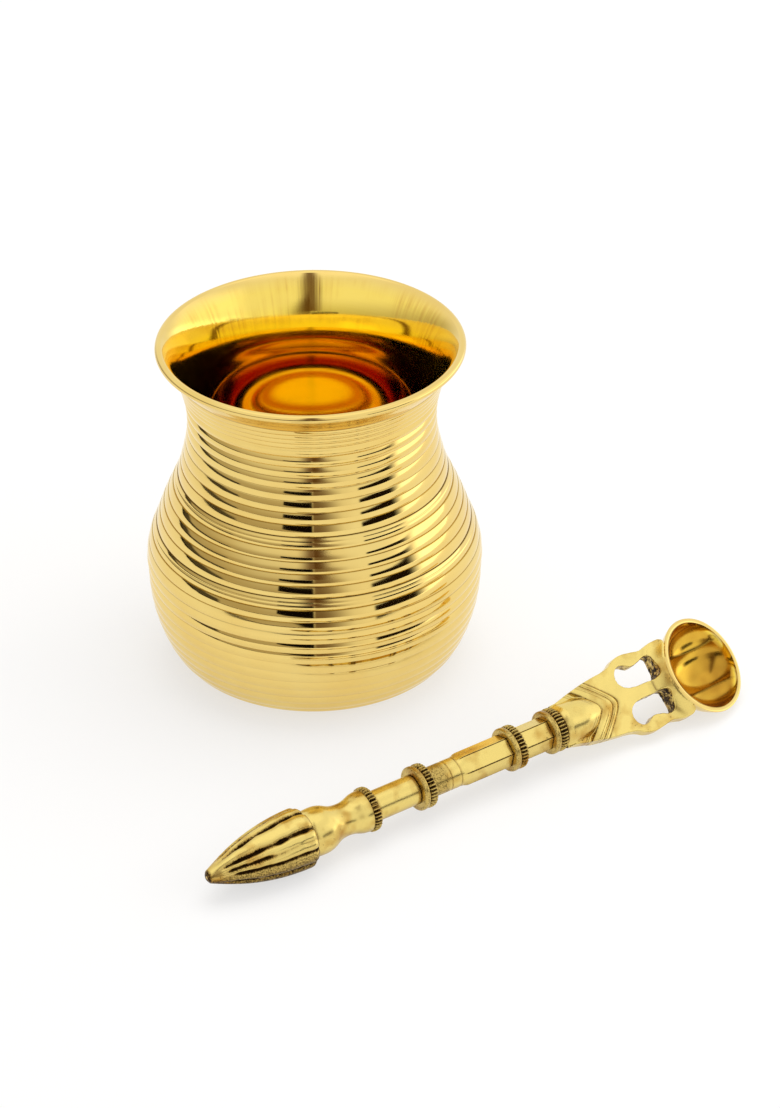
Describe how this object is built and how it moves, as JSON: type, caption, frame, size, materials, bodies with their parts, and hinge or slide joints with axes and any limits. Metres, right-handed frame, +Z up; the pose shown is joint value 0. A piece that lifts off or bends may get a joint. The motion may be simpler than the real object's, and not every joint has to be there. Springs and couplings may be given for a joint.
{
  "type": "panchpatra with spoon",
  "caption": "Ribbed brass ritual water pot with a flared mouth, and its spoon with a fluted bud, ringed handle, pierced head and lobed bowl.",
  "frame": {"origin": "centre of the pot's standing ring, on the surface that it stands on", "axes": "+Z up along the pot's axis; the spoon lies on the -Y side, with its bowl towards +X"},
  "size_m": [0.1399, 0.1424, 0.083],
  "materials": {
    "polished_brass": "mirror polished",
    "cast_brass": "polished, dark in the recesses"
  },
  "bodies": {
    "pot": {"pot_shell": "polished_brass"},
    "spoon": {"core_rod": "cast_brass", "fluted_bud": "cast_brass", "baluster_grip": "cast_brass", "knurled_ring_1": "cast_brass", "round_sleeve": "cast_brass", "plain_ring_2": "cast_brass", "knurled_ring_2": "cast_brass", "banded_hex_sleeve": "cast_brass", "plain_ring_3": "cast_brass", "knurled_ring_3": "cast_brass", "short_hex_sleeve": "cast_brass", "plain_ring_4": "cast_brass", "knurled_ring_4": "cast_brass", "pierced_head": "cast_brass", "spoon_bowl": "polished_brass"}
  },
  "joints": [
    {"name": "spoon_lift", "type": "slide", "parent": "pot", "child": "spoon", "axis": [0, 0, 1], "range_m": [0, 0.12]}
  ]
}
